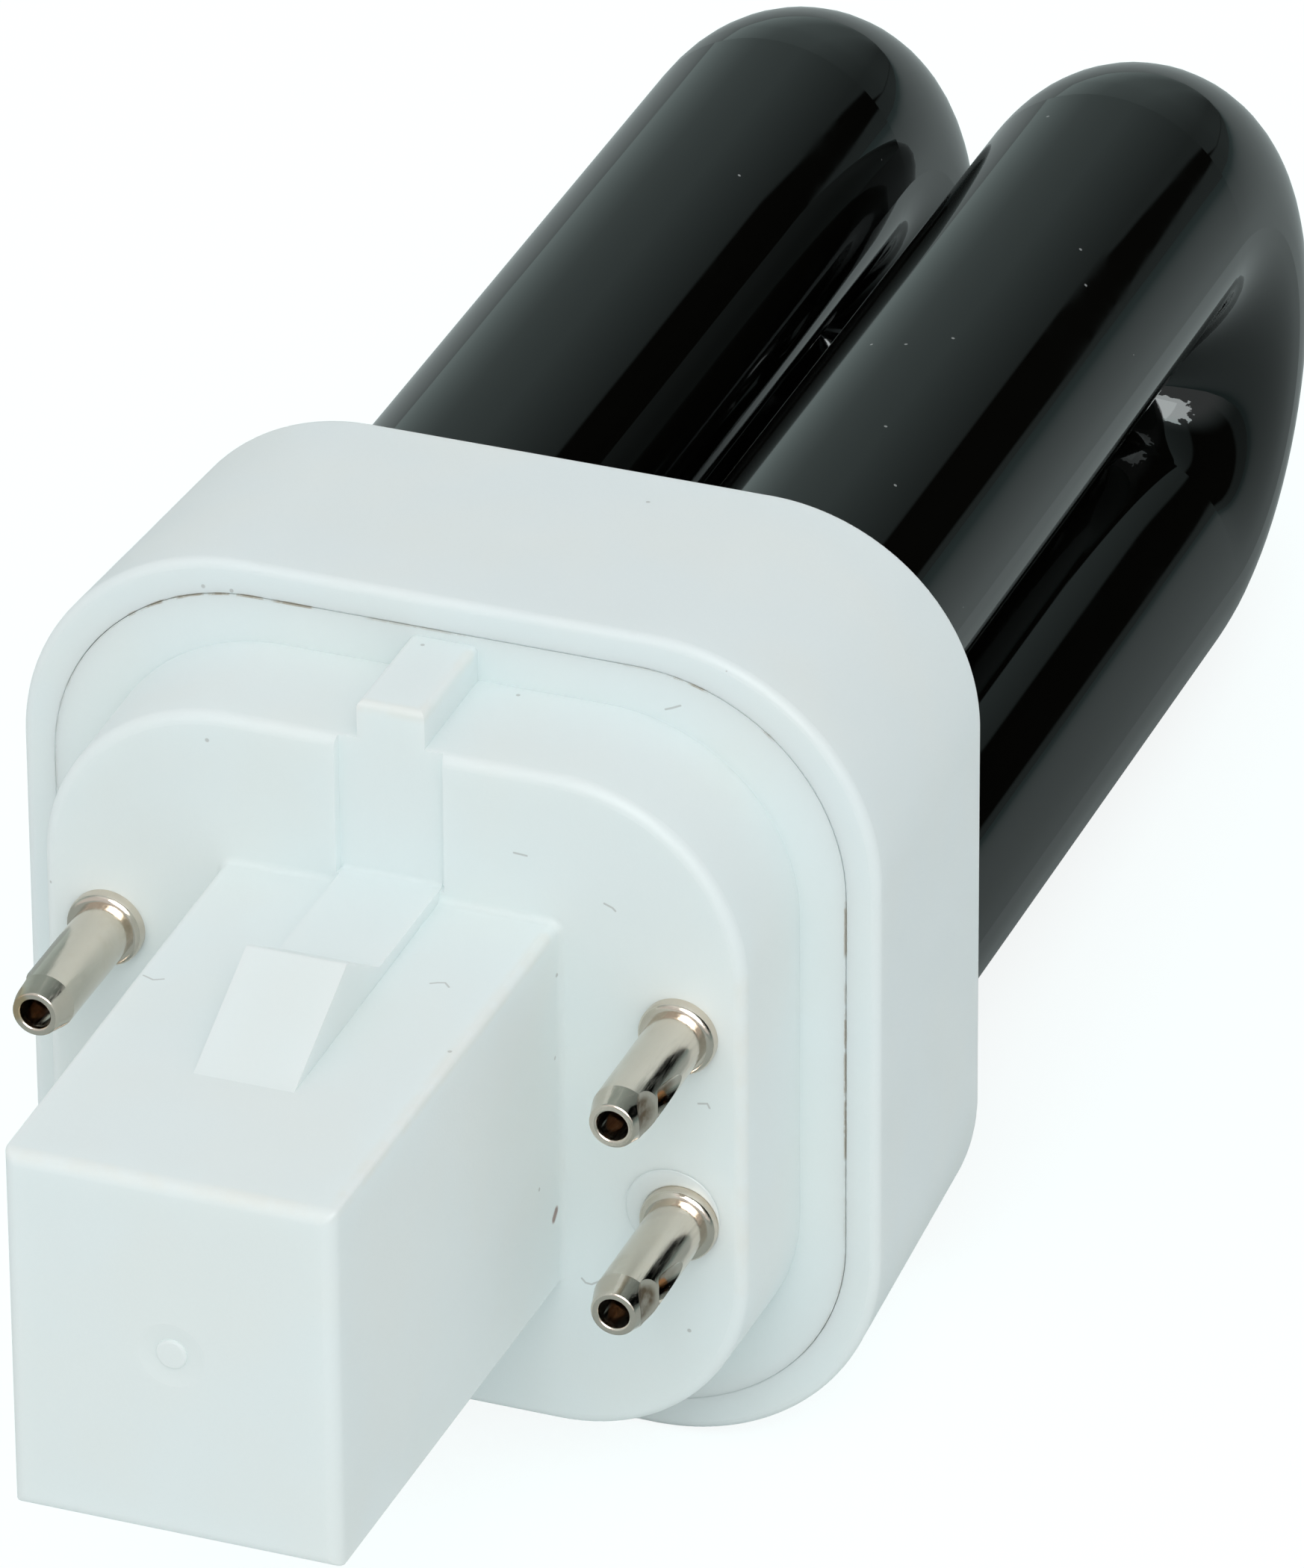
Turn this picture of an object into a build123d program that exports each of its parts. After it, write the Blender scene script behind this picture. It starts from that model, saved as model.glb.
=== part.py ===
from build123d import *
import os
from math import radians, tan

# Push-in lamp with two U-bent black glass tubes, a collar, and a cap with a latch post and four contact pins.
# Millimetres. The lamp's axis is Y: the post points to -Y and the glass to +Y. X runs across the cap, from
# one pair of pins to the other, and Z is up, on the key's side. The origin is on the axis, in the plane of
# the platform's face.

# Glass: two U tubes side by side
TUBE_RADIUS = 5.7
TUBE_SPACING_X = 14.2
LEG_SPACING_Z = 15.2
STRAIGHT_END_Y = 59.0
SEALED_END_Y = 8.4
SEAL_ROUND = 3.0
BRIDGE_RADIUS = 2.6
BRIDGE_Y = 11.2

# Collar: a rounded square that narrows towards the glass
COLLAR_RIM_SIZE = 34.0
COLLAR_BACK_SIZE = 32.66
COLLAR_RIM_CORNER = 9.0
COLLAR_BACK_CORNER = 8.3
RIM_Y = 5.6
COLLAR_BACK_Y = 18.54
RIM_OUTER_ROUND = 0.35
RIM_INNER_ROUND = 0.06
BACK_EDGE_ROUND = 0.3
COLLAR_WALL = 1.5
BACK_WALL = 1.6
LEG_HOLE_CLEARANCE = 0.12
CEMENT_NEAR_Y = 14.2

# Cap: ledge plate and raised platform
SEAM_GAP = 0.02
LEDGE_SIZE = 31.36
LEDGE_CORNER = 8.2
LEDGE_Y = 5.6
LEDGE_THICKNESS = 1.8
PLATFORM_BASE_SIZE = 27.8
PLATFORM_CORNER = 7.5
PLATFORM_DRAFT = 0.8
PLATFORM_ROUND = 0.45
CAP_WALL = 1.5
PLATFORM_SIDE_WALL = 1.0

# Cap: key rib and the shallow channels that lead from the platform's edge to the post
KEY_WIDTH = 2.65
KEY_TOP_Z = 15.32
KEY_ROUND = 0.25
CHANNEL_WIDTH = 4.1
CHANNEL_DEPTH = 0.3
CHANNEL_SPLAY = 15

# Cap: post, its two snap catches and the moulding gate's mark on its end
POST_WIDTH = 13.2
POST_HEIGHT = 15.42
POST_LENGTH = 21.3
POST_DRAFT = 0.65
POST_EDGE_ROUND = 0.35
POST_END_ROUND = 0.55
POST_ROOT_ROUND = 0.3
CATCH_WIDTH = 3.9
CATCH_FOOT_Z = 8.2
CATCH_RISE_Y = -5.9
CATCH_RIDGE_Y = -8.92
CATCH_RIDGE_Z = 10.04
CATCH_TOE_Y = -14.1
CATCH_ROUND = 0.2
GATE_Z = 0.3
GATE_DISH_RADIUS = 1.3
GATE_DISH_DEPTH = 0.15
GATE_NUB_RADIUS = 0.6
GATE_NUB_ROUND = 0.12

# Contact pins: hollow, flanged, flared behind the platform and crimped on the outboard side
PIN_SPACING_X = 22.6
PIN_SPACING_Z = 8.0
PIN_RADIUS = 1.15
PIN_BORE = 0.66
PIN_LENGTH = 6.9
PIN_NOSE_LENGTH = 1.0
PIN_NOSE_RADIUS = 0.88
PIN_MOUTH_RADIUS = 0.6
PIN_LIP = 0.2
PIN_RIM_ROUND = 0.1
FLANGE_RADIUS = 1.5
FLANGE_HEIGHT = 0.55
FLANGE_ROUND = 0.25
FLARE_RADIUS = 1.4
FLARE_HEIGHT = 0.3
CRIMP_RADIUS = 0.6
CRIMP_DEPTH = 0.75
CRIMP_ROUND = 0.3
CRIMP_DEEP_Y = -5.05
CRIMP_SHALLOW_Y = -2.9
PINCH_RADIUS = 1.0
PINCH_DEPTH = 0.48
PINCH_Y = -5.9

# Lead wires from the upper legs' seals into the pins
WIRE_RADIUS = 0.3
WIRE_TIP_Y = -5.0
WIRE_TURN_Y = 4.2
WIRE_LEAVE_Y = 6.2
WIRE_SPREAD_Z = 1.6
WIRE_BEND = 1.2

OVERLAP = 1.0
LEDGE_BACK_Y = LEDGE_Y + LEDGE_THICKNESS
CAVITY_END_Y = COLLAR_BACK_Y - BACK_WALL
CAVITY_SIZE = COLLAR_BACK_SIZE - 2 * COLLAR_WALL
CAVITY_CORNER = COLLAR_BACK_CORNER - COLLAR_WALL
LEG_X = TUBE_SPACING_X / 2
LEG_Z = LEG_SPACING_Z / 2
PIN_X = PIN_SPACING_X / 2
PIN_Z = PIN_SPACING_Z / 2
SIDES = {"right": 1, "left": -1}
LEVELS = {"upper": 1, "lower": -1}


def across(y):
    """Plane across the lamp at y. It faces the post's end, and its local axes are X and Z."""
    return Plane.XZ.offset(-y)


def rounded_block(size_x, size_z, corner, near_y, far_y, draft=0):
    """Rounded prism from far_y towards the post as far as near_y, narrower by the draft angle."""
    return extrude(across(far_y) * RectangleRounded(size_x, size_z, corner), far_y - near_y, taper=draft)


def round_rod(radius, near_y, far_y, x=0, z=0):
    """Cylinder along the lamp's axis."""
    return extrude(across(far_y) * Pos(x, z) * Circle(radius), far_y - near_y)


def edges_at(shape, y):
    """Edges that lie in the plane at y."""
    return shape.edges().filter_by_position(Axis.Y, y - 0.001, y + 0.001)


def glass_leg(x, z):
    """Straight leg with its rounded, sealed end."""
    leg = round_rod(TUBE_RADIUS, SEALED_END_Y, STRAIGHT_END_Y, x, z)
    return fillet(edges_at(leg, SEALED_END_Y), SEAL_ROUND)


def u_tube(x):
    """Two legs joined by a half-circle bend."""
    section = Pos(x, STRAIGHT_END_Y, LEG_Z) * Rot(90, 0, 0) * Circle(TUBE_RADIUS)
    bend = revolve(section, Axis((x, STRAIGHT_END_Y, 0), (1, 0, 0)), revolution_arc=-180)
    return glass_leg(x, LEG_Z) + bend + glass_leg(x, -LEG_Z)


def discharge_tube():
    """Both U tubes, with the short fused bridge that joins their lower legs inside the collar."""
    bridge = Pos(0, BRIDGE_Y, -LEG_Z) * Rot(0, 90, 0) * Cylinder(BRIDGE_RADIUS, TUBE_SPACING_X)
    return u_tube(LEG_X) + u_tube(-LEG_X) + bridge


def leg_holes(radius, near_y, far_y):
    """Four round openings on the legs' axes."""
    places = [(side * LEG_X, height * LEG_Z) for side in SIDES.values() for height in LEVELS.values()]
    return Part() + [round_rod(radius, near_y, far_y, x, z) for x, z in places]


def collar():
    """Skirt with a seat for the cap in its rim and a back wall that the four glass legs pass through."""
    back = across(COLLAR_BACK_Y) * RectangleRounded(COLLAR_BACK_SIZE, COLLAR_BACK_SIZE, COLLAR_BACK_CORNER)
    front = across(RIM_Y) * RectangleRounded(COLLAR_RIM_SIZE, COLLAR_RIM_SIZE, COLLAR_RIM_CORNER)
    body = loft([back, front], ruled=True)
    body = fillet(edges_at(body, RIM_Y), RIM_OUTER_ROUND)
    body = fillet(edges_at(body, COLLAR_BACK_Y), BACK_EDGE_ROUND)
    seat_size = LEDGE_SIZE + 2 * SEAM_GAP
    body -= rounded_block(seat_size, seat_size, LEDGE_CORNER + SEAM_GAP, RIM_Y - OVERLAP, LEDGE_BACK_Y)
    rim_face = body.faces().sort_by(Axis.Y)[0]
    body = fillet(rim_face.inner_wires()[0].edges(), RIM_INNER_ROUND)
    body -= rounded_block(CAVITY_SIZE, CAVITY_SIZE, CAVITY_CORNER, RIM_Y, CAVITY_END_Y)
    hole_radius = TUBE_RADIUS + LEG_HOLE_CLEARANCE
    return body - leg_holes(hole_radius, CAVITY_END_Y - OVERLAP, COLLAR_BACK_Y + OVERLAP)


def tube_cement():
    """Cement poured round the glass legs against the collar's back wall."""
    slab = rounded_block(CAVITY_SIZE, CAVITY_SIZE, CAVITY_CORNER, CEMENT_NEAR_Y, CAVITY_END_Y)
    return slab - leg_holes(TUBE_RADIUS, CEMENT_NEAR_Y - OVERLAP, CAVITY_END_Y + OVERLAP)


def upper_catch():
    """Snap catch on the post's upper face: a flat rib from the platform, a rise to the ridge and a lead-in ramp."""
    face_z = POST_HEIGHT / 2
    buried_z = face_z - OVERLAP
    toe_z = face_z + CATCH_TOE_Y * tan(radians(POST_DRAFT))
    foot = (CHANNEL_DEPTH, CATCH_FOOT_Z)
    ridge = (CATCH_RIDGE_Y, CATCH_RIDGE_Z)
    outline = [
        (OVERLAP, buried_z),
        (OVERLAP, CATCH_FOOT_Z + OVERLAP),
        (CHANNEL_DEPTH, CATCH_FOOT_Z + OVERLAP),
        foot,
        (CATCH_RISE_Y, CATCH_FOOT_Z),
        ridge,
        (CATCH_TOE_Y, toe_z),
        (CATCH_TOE_Y, buried_z),
    ]
    profile = make_face(Polyline(*outline, close=True))
    rounded = [profile.vertices().sort_by_distance(corner)[0] for corner in (foot, ridge)]
    return extrude(Plane.YZ * fillet(rounded, CATCH_ROUND), CATCH_WIDTH / 2, both=True)


def upper_channel():
    """Shallow channel in the platform, from the catch's foot out through the upper edge."""
    end_z = PLATFORM_BASE_SIZE / 2 + OVERLAP
    middle_z = (CATCH_FOOT_Z + end_z) / 2
    outline = across(CHANNEL_DEPTH) * Pos(0, middle_z) * Rectangle(CHANNEL_WIDTH, end_z - CATCH_FOOT_Z)
    return extrude(outline, CHANNEL_DEPTH + POST_ROOT_ROUND, taper=-CHANNEL_SPLAY)


def key_rib():
    """Rib on the platform's upper wall, from the channel's level down to the ledge."""
    start_z = PLATFORM_BASE_SIZE / 2 - CAP_WALL
    middle_z = (start_z + KEY_TOP_Z) / 2
    outline = across(LEDGE_Y) * Pos(0, middle_z) * Rectangle(KEY_WIDTH, KEY_TOP_Z - start_z)
    rib = extrude(outline, LEDGE_Y - CHANNEL_DEPTH)
    top_edges = rib.faces().sort_by(Axis.Z)[-1].edges().filter_by(Axis.X, reverse=True)
    return fillet(top_edges + edges_at(rib, CHANNEL_DEPTH).sort_by(Axis.Z)[-1:], KEY_ROUND)


def gate_mark(cap):
    """Shallow dish with a rough nub, where the moulding was filled at the middle of the post's end."""
    ball = (GATE_DISH_RADIUS**2 + GATE_DISH_DEPTH**2) / (2 * GATE_DISH_DEPTH)
    dish = Pos(0, GATE_DISH_DEPTH - POST_LENGTH - ball, GATE_Z) * Sphere(ball)
    nub = round_rod(GATE_NUB_RADIUS, -POST_LENGTH, OVERLAP - POST_LENGTH, 0, GATE_Z)
    nub = fillet(edges_at(nub, -POST_LENGTH), GATE_NUB_ROUND)
    return cap - dish + nub


def pin_holes():
    """Holes through the platform that the pins are riveted in."""
    places = [(side * PIN_X, height * PIN_Z) for side in SIDES.values() for height in LEVELS.values()]
    return Part() + [round_rod(PIN_RADIUS, -OVERLAP, LEDGE_Y, x, z) for x, z in places]


def base_cap():
    """Cap moulding: a hollow shell with ledge, drafted platform, key, channels, post and two catches."""
    platform = rounded_block(
        PLATFORM_BASE_SIZE, PLATFORM_BASE_SIZE, PLATFORM_CORNER, 0, LEDGE_Y, PLATFORM_DRAFT
    )
    platform = fillet(edges_at(platform, 0), PLATFORM_ROUND)
    post = rounded_block(POST_WIDTH, POST_HEIGHT, POST_EDGE_ROUND, -POST_LENGTH, 0, POST_DRAFT)
    post = fillet(edges_at(post, -POST_LENGTH), POST_END_ROUND)
    cap = rounded_block(LEDGE_SIZE, LEDGE_SIZE, LEDGE_CORNER, LEDGE_Y, LEDGE_BACK_Y) + platform + post
    face = cap.faces().filter_by(Axis.Y).filter_by_position(Axis.Y, -0.001, 0.001)[0]
    cap = fillet(face.inner_wires()[0].edges(), POST_ROOT_ROUND)
    channel = upper_channel()
    cap = cap - channel - mirror(channel, Plane.XY)
    catch = upper_catch()
    cap = cap + catch + mirror(catch, Plane.XY)
    cap = gate_mark(cap + key_rib())
    room = PLATFORM_BASE_SIZE - 2 * PLATFORM_SIDE_WALL
    room_corner = PLATFORM_CORNER - PLATFORM_SIDE_WALL
    cap -= rounded_block(room, room, room_corner, CAP_WALL, LEDGE_BACK_Y, PLATFORM_DRAFT)
    shaft_x = POST_WIDTH - 2 * CAP_WALL
    shaft_z = POST_HEIGHT - 2 * CAP_WALL
    cap -= rounded_block(shaft_x, shaft_z, POST_EDGE_ROUND, CAP_WALL - POST_LENGTH, LEDGE_Y, POST_DRAFT)
    return cap - pin_holes()


def pin_profile():
    """Half section of a pin: radius and place along the axis, from the flared tail to the nose."""
    tail_y = CAP_WALL + FLARE_HEIGHT
    nose_y = PIN_NOSE_LENGTH - PIN_LENGTH
    return [
        (PIN_BORE, tail_y),
        (FLARE_RADIUS, tail_y),
        (FLARE_RADIUS, CAP_WALL),
        (PIN_RADIUS, CAP_WALL),
        (PIN_RADIUS, 0),
        (FLANGE_RADIUS, 0),
        (FLANGE_RADIUS, -FLANGE_HEIGHT),
        (PIN_RADIUS, -FLANGE_HEIGHT),
        (PIN_RADIUS, nose_y),
        (PIN_NOSE_RADIUS, -PIN_LENGTH),
        (PIN_MOUTH_RADIUS, -PIN_LENGTH),
        (PIN_MOUTH_RADIUS, PIN_LIP - PIN_LENGTH),
        (PIN_BORE, 2 * PIN_LIP - PIN_LENGTH),
    ]


def crimp_punch():
    """Slanted round-nosed punch that presses the pin in as far as its bore, on the wire."""
    lift = PIN_RADIUS + CRIMP_RADIUS
    slope = Vector(CRIMP_DEPTH, CRIMP_SHALLOW_Y - CRIMP_DEEP_Y, 0)
    deep_end = Plane(origin=(lift - CRIMP_DEPTH, CRIMP_DEEP_Y, 0), z_dir=slope)
    punch = extrude(deep_end * Circle(CRIMP_RADIUS), slope.length + OVERLAP)
    return fillet(punch.edges().sort_by(Axis.Y)[0], CRIMP_ROUND)


def pinch_rod():
    """Round rod across the pin that presses its nose in beside the crimp."""
    return Pos(PIN_RADIUS - PINCH_DEPTH + PINCH_RADIUS, PINCH_Y, 0) * Cylinder(PINCH_RADIUS, 4 * PIN_RADIUS)


def contact_pin(side, height):
    """One pin, turned about its axis, with the crimp on its outboard side."""
    pin = revolve(make_face(Polyline(*pin_profile(), close=True)), Axis.Y)
    pin = fillet(edges_at(pin, -FLANGE_HEIGHT).sort_by(SortBy.RADIUS)[-1], FLANGE_ROUND)
    pin = fillet(edges_at(pin, -PIN_LENGTH), PIN_RIM_ROUND)
    pin = pin - pinch_rod() - crimp_punch()
    if side < 0:
        pin = mirror(pin, Plane.YZ)
    return Pos(side * PIN_X, 0, height * PIN_Z) * pin


def lead_wire(side, height):
    """Copper wire from the upper leg's seal to the crimp inside one pin."""
    leave_z = LEG_Z + height * WIRE_SPREAD_Z / 2
    route = [
        (side * LEG_X, SEALED_END_Y, leave_z),
        (side * LEG_X, WIRE_LEAVE_Y, leave_z),
        (side * PIN_X, WIRE_TURN_Y, height * PIN_Z),
        (side * PIN_X, WIRE_TIP_Y, height * PIN_Z),
    ]
    path = FilletPolyline(*route, radius=WIRE_BEND)
    return sweep(Plane(path ^ 0) * Circle(WIRE_RADIUS), path)


def main():
    os.makedirs("parts", exist_ok=True)
    export_step(discharge_tube(), "parts/discharge_tube.step")
    export_step(collar(), "parts/collar.step")
    export_step(tube_cement(), "parts/tube_cement.step")
    export_step(base_cap(), "parts/base_cap.step")
    for side_name, side in SIDES.items():
        for level_name, height in LEVELS.items():
            place = f"{level_name}_{side_name}"
            export_step(contact_pin(side, height), f"parts/contact_pin_{place}.step")
            export_step(lead_wire(side, height), f"parts/lead_wire_{place}.step")


main()
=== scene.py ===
"""Finishes and studio stage of a push-in blacklight lamp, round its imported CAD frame.

Sizes are in millimetres in the lamp's own frame, with Y along its axis from the post to the glass.
MM turns them into the scene's metres.
"""

import math

import bpy
import numpy as np
from bpy.props import FloatProperty, FloatVectorProperty, PointerProperty
from mathutils import Matrix, Vector


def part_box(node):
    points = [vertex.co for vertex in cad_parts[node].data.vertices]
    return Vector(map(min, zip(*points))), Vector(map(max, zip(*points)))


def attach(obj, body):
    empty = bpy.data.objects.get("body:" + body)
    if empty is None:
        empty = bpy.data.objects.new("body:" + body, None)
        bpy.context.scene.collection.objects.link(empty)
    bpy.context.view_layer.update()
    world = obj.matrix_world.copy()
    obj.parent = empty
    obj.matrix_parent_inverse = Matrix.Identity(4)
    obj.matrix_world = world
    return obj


bl_info = {
    "name": "Blacklight Lamp Finishes",
    "version": (1, 0, 0),
    "blender": (4, 5, 0),
    "location": "View3D > Sidebar > Lamp",
    "description": "Gives a push-in blacklight lamp its glass, plastic and metal, and lights it",
    "category": "Object",
}

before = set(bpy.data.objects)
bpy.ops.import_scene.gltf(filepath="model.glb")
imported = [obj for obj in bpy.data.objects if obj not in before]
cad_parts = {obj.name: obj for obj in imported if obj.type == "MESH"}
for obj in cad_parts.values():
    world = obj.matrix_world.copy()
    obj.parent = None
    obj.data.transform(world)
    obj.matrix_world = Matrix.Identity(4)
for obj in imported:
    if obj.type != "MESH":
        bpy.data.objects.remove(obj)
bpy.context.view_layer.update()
MM = 0.001


def box_mm(name):
    """Lowest and highest corner of a CAD node, in millimetres."""
    low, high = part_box(name)
    return np.array(low) / MM, np.array(high) / MM


CAP_LOW, CAP_HIGH = box_mm("base_cap")
COLLAR_LOW = box_mm("collar")[0]
TUBE_LOW = box_mm("discharge_tube")[0]
PIN_LOW, PIN_HIGH = box_mm("contact_pin_lower_right")
PINS = [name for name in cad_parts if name.startswith("contact_pin")]
WIRES = [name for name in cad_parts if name.startswith("lead_wire")]
PIN_X = (PIN_LOW[0] + PIN_HIGH[0]) / 2
PIN_Z = abs(PIN_LOW[2] + PIN_HIGH[2]) / 2
FLANGE_RADIUS = (PIN_HIGH[2] - PIN_LOW[2]) / 2
PIN_TIP_Y = PIN_LOW[1]
POST_END_Y = CAP_LOW[1]
RIM_Y = COLLAR_LOW[1]
SEAM_HALF = CAP_HIGH[0]
SEAM_CORNER = 8.2

# Crescent of flash: gap to the flange, radius of its outer circle, that circle's shift along X and Z, least
# width, height, and the most height that a unit of width carries
FLASH_GAP = 0.01
FLASH_RADIUS = 1.85
FLASH_SHIFT = (-0.3, 0.28)
FLASH_LEAST_WIDTH = 0.03
FLASH_HEIGHT = 0.07
FLASH_STEEPNESS = 0.4

# Dust fibres that lie on the cap, each as the places it runs through
CAP_FIBRES = [
    [(3.75, -5.46, 7.65), (3.98, -5.32, 7.65), (4.24, -5.23, 7.65), (4.48, -5.47, 7.65)],
    [(-6.23, -8.48, 7.61), (-5.78, -8.65, 7.61), (-5.44, -8.47, 7.61)],
    [(4.89, 0.0, 10.37), (5.39, 0.0, 10.34)],
    [(8.40, 0.0, 8.94), (8.72, 0.0, 8.82), (8.83, 0.0, 8.71)],
    [(12.02, 0.0, 1.2), (12.37, 0.0, 1.27), (12.46, 0.0, 1.1)],
    [(7.38, 0.0, -7.33), (7.53, 0.0, -7.49), (7.76, 0.0, -7.51), (8.09, 0.0, -7.3)],
    [(8.68, RIM_Y, 14.13), (8.94, RIM_Y, 14.24), (9.26, RIM_Y, 14.4)],
]
# One bold brown fibre at the foot of the post
CAP_TICKS = [[(6.6, -0.52, -4.27), (6.6, -0.74, -4.48)]]
# Edges that are rubbed and yellowed, with painted shade that dulls their highlight: the key rib's, the post's
# and the platform's on the right
WORN_AND_SHADED_EDGES = [
    [(-1.3, 0.3, 15.25), (1.3, 0.3, 15.25), (1.3, 5.0, 15.25)],
    [(-6.2, POST_END_Y + 0.2, 7.4), (6.25, POST_END_Y + 0.2, 7.4), (6.5, -1.0, 7.6)],
    [(13.75, 0.15, 6.5), (13.75, 0.15, -6.5)],
]
# Dust specks on the cap, the collar and the glass
CAP_SPOTS = [
    (-7.13, 0.0, 12.7), (6.14, -9.58, 7.6), (6.6, -0.24, 5.67), (6.59, -0.47, 2.27),
    (6.58, -2.13, -2.42), (11.62, 0.0, -8.68), (-13.55, 0.1, 5.36), (-0.61, 5.02, 15.32),
    (3.1, 5.1, 13.88),
]
COLLAR_SPOTS = [
    (4.0, 16.1, 16.46), (14.2, 9.6, 16.2), (2.25, RIM_Y, 16.96), (-9.53, RIM_Y, 15.75),
    (-8.4, RIM_Y, 15.78),
]
GLASS_SPECKS = [
    (9.94, 47.67, 12.54), (8.18, 37.9, 13.19), (6.71, 36.65, 13.29), (8.19, 30.34, 13.19),
    (9.78, 27.06, 12.63), (10.76, 45.96, 11.96), (5.25, 57.07, 12.99),
]
# Grimy stretches of the seam: start and end, in degrees round the axis from +X towards +Z, and strength
SEAM_GRIME = [
    (-42, -14, 0.18), (-13, 10, 0.65), (11, 14, 0.3), (18, 25, 0.65), (47, 48.5, 0.6), (56, 58, 0.7),
    (58.7, 60.5, 0.75), (60.5, 68, 0.15), (86, 101, 0.3), (108, 132, 0.75), (132, 159, 0.12),
]
# Radii between which a pin's wall goes from pressed in to round
CRIMP_RADII = (0.85, 1.08)
# Bare copper in each crimp, as a place outboard of the pin's axis, along it and above it, and the place of a
# golden tarnish on one tip
CRIMP_SPOT = (0.75, -3.95, -0.3)
PIN_GILT = (-12.1, -6.75, 4.25)

# Colours of dust, wear and stains; the worn edges' colour is also painted shade
SPECK_COLOUR = (0.3, 0.3, 0.27)
FIBRE_COLOUR = (0.17, 0.15, 0.12)
TICK_COLOUR = (0.2, 0.09, 0.06)
# Worn edges' colour, which is also painted shade that dulls their highlight
WORN_AND_SHADE_COLOUR = (0.78, 0.72, 0.59)
TARNISH_COLOUR = (0.5, 0.42, 0.3)
GILT_COLOUR = (0.5, 0.33, 0.12)
CRIMP_COPPER = (0.6, 0.25, 0.1)
DULL_COPPER = (0.33, 0.15, 0.08)
BURNT_COPPER = (0.05, 0.03, 0.02)
CEMENT_DARK = (0.46, 0.44, 0.41)
CEMENT_PALE = (0.7, 0.69, 0.65)

# Where the lamp meets the floor along its axis, at the collar's rounded rim and at the tubes' bends, the gap
# that is left there, and how far the floor reaches
RIM_REST_Y = RIM_Y + 0.35
BEND_REST_Y = 59.0
FLOOR_GAP = 0.02
FLOOR_REACH = 3000.0
# What the floor's colour goes towards for the camera and for gloss
FLOOR_DIM = (0.0, 0.1, 0.1)
# Softboxes: place and size, in metres
FRONT_SOFTBOX = ((0.2375, -0.646, 0.646), 0.6)
TOP_SOFTBOX = ((-0.2, -0.15, 0.9), 0.8)
# Tent that gloss mirrors: radius, least brightness, and the rises round the axis as start and end, in degrees
# from +X towards +Z, and what each adds
TENT_RADIUS = 1500.0
TENT_LEAST = 0.16
TENT_RISES = [(46.0, 98.0, 0.25), (134.0, 172.0, 0.2), (-20.0, -60.0, 0.2)]
# Dark gap in the tent: where its middle lies round the axis, and how the middle moves and the half width
# grows from the first to the second angle off the axis, all in degrees
GAP_TURN = 22.0
GAP_LEAN = (26.0, 33.0, 6.0)
GAP_SPREAD = [(26.0, 31.5, 3.0), (31.5, 33.05, 15.0)]
# Direction of the bright window in the tent, as a unit vector, and the cosine at its edge
WINDOW_WAY = (0.36, -0.67, 0.65)
WINDOW_EDGE = 0.90


class LampPlastics(bpy.types.PropertyGroup):
    """Moulded white plastics of the cap and the collar."""

    cap_colour: FloatVectorProperty(
        name="Cap", description="Colour of the cap moulding", subtype="COLOR",
        size=3, min=0, max=1, default=(0.79, 0.87, 0.875),
    )
    collar_colour: FloatVectorProperty(
        name="Collar", description="Colour of the collar moulding", subtype="COLOR",
        size=3, min=0, max=1, default=(0.775, 0.855, 0.865),
    )
    aged_colour: FloatVectorProperty(
        name="Aged tint", description="Warmer tint that the plastic has in soft patches", subtype="COLOR",
        size=3, min=0, max=1, default=(0.80, 0.855, 0.835),
    )
    roughness: FloatProperty(
        name="Roughness", description="How matt the mouldings are", subtype="FACTOR",
        min=0, max=1, default=0.55,
    )
    translucency: FloatProperty(
        name="Translucency", description="Share of the light that spreads inside the plastic",
        subtype="FACTOR", min=0, max=1, default=0.4,
    )
    dirt_colour: FloatVectorProperty(
        name="Dirt", description="Colour of the dirt in the seam", subtype="COLOR",
        size=3, min=0, max=1, default=(0.33, 0.27, 0.18),
    )
    fibre_width: FloatProperty(
        name="Fibre width", description="Width of the dust fibres on the cap, in millimetres",
        min=0.01, max=0.3, default=0.07,
    )


class LampGlass(bpy.types.PropertyGroup):
    """Black glass of the discharge tube."""

    colour: FloatVectorProperty(
        name="Glass", description="Colour of the glass's body", subtype="COLOR",
        size=3, min=0, max=1, default=(0.0022, 0.0022, 0.0018),
    )
    roughness: FloatProperty(
        name="Roughness", description="How far the glass blurs what it mirrors", subtype="FACTOR",
        min=0, max=1, default=0.02,
    )
    mirror_level: FloatProperty(
        name="Mirror level", description="Strength of the glass's reflections", subtype="FACTOR",
        min=0, max=1, default=0.5,
    )
    dust_colour: FloatVectorProperty(
        name="Dust", description="Colour of the dust specks", subtype="COLOR",
        size=3, min=0, max=1, default=(0.55, 0.58, 0.58),
    )


class LampMetals(bpy.types.PropertyGroup):
    """Nickel of the pins and copper of the wires."""

    nickel_colour: FloatVectorProperty(
        name="Nickel", description="Colour of the pins' plating", subtype="COLOR",
        size=3, min=0, max=1, default=(0.665, 0.60, 0.52),
    )
    # Crimp colour that is both stain and painted shade: the dark reflection in the crimps is painted into it
    stain_and_shade_colour: FloatVectorProperty(
        name="Crimp stain", description="Colour of the stained metal in the crimps", subtype="COLOR",
        size=3, min=0, max=1, default=(0.16, 0.10, 0.055),
    )
    copper_colour: FloatVectorProperty(
        name="Copper", description="Colour of the lead wires", subtype="COLOR",
        size=3, min=0, max=1, default=(0.72, 0.36, 0.18),
    )
    roughness: FloatProperty(
        name="Roughness", description="How matt the plating is", subtype="FACTOR",
        min=0, max=1, default=0.15,
    )


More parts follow.
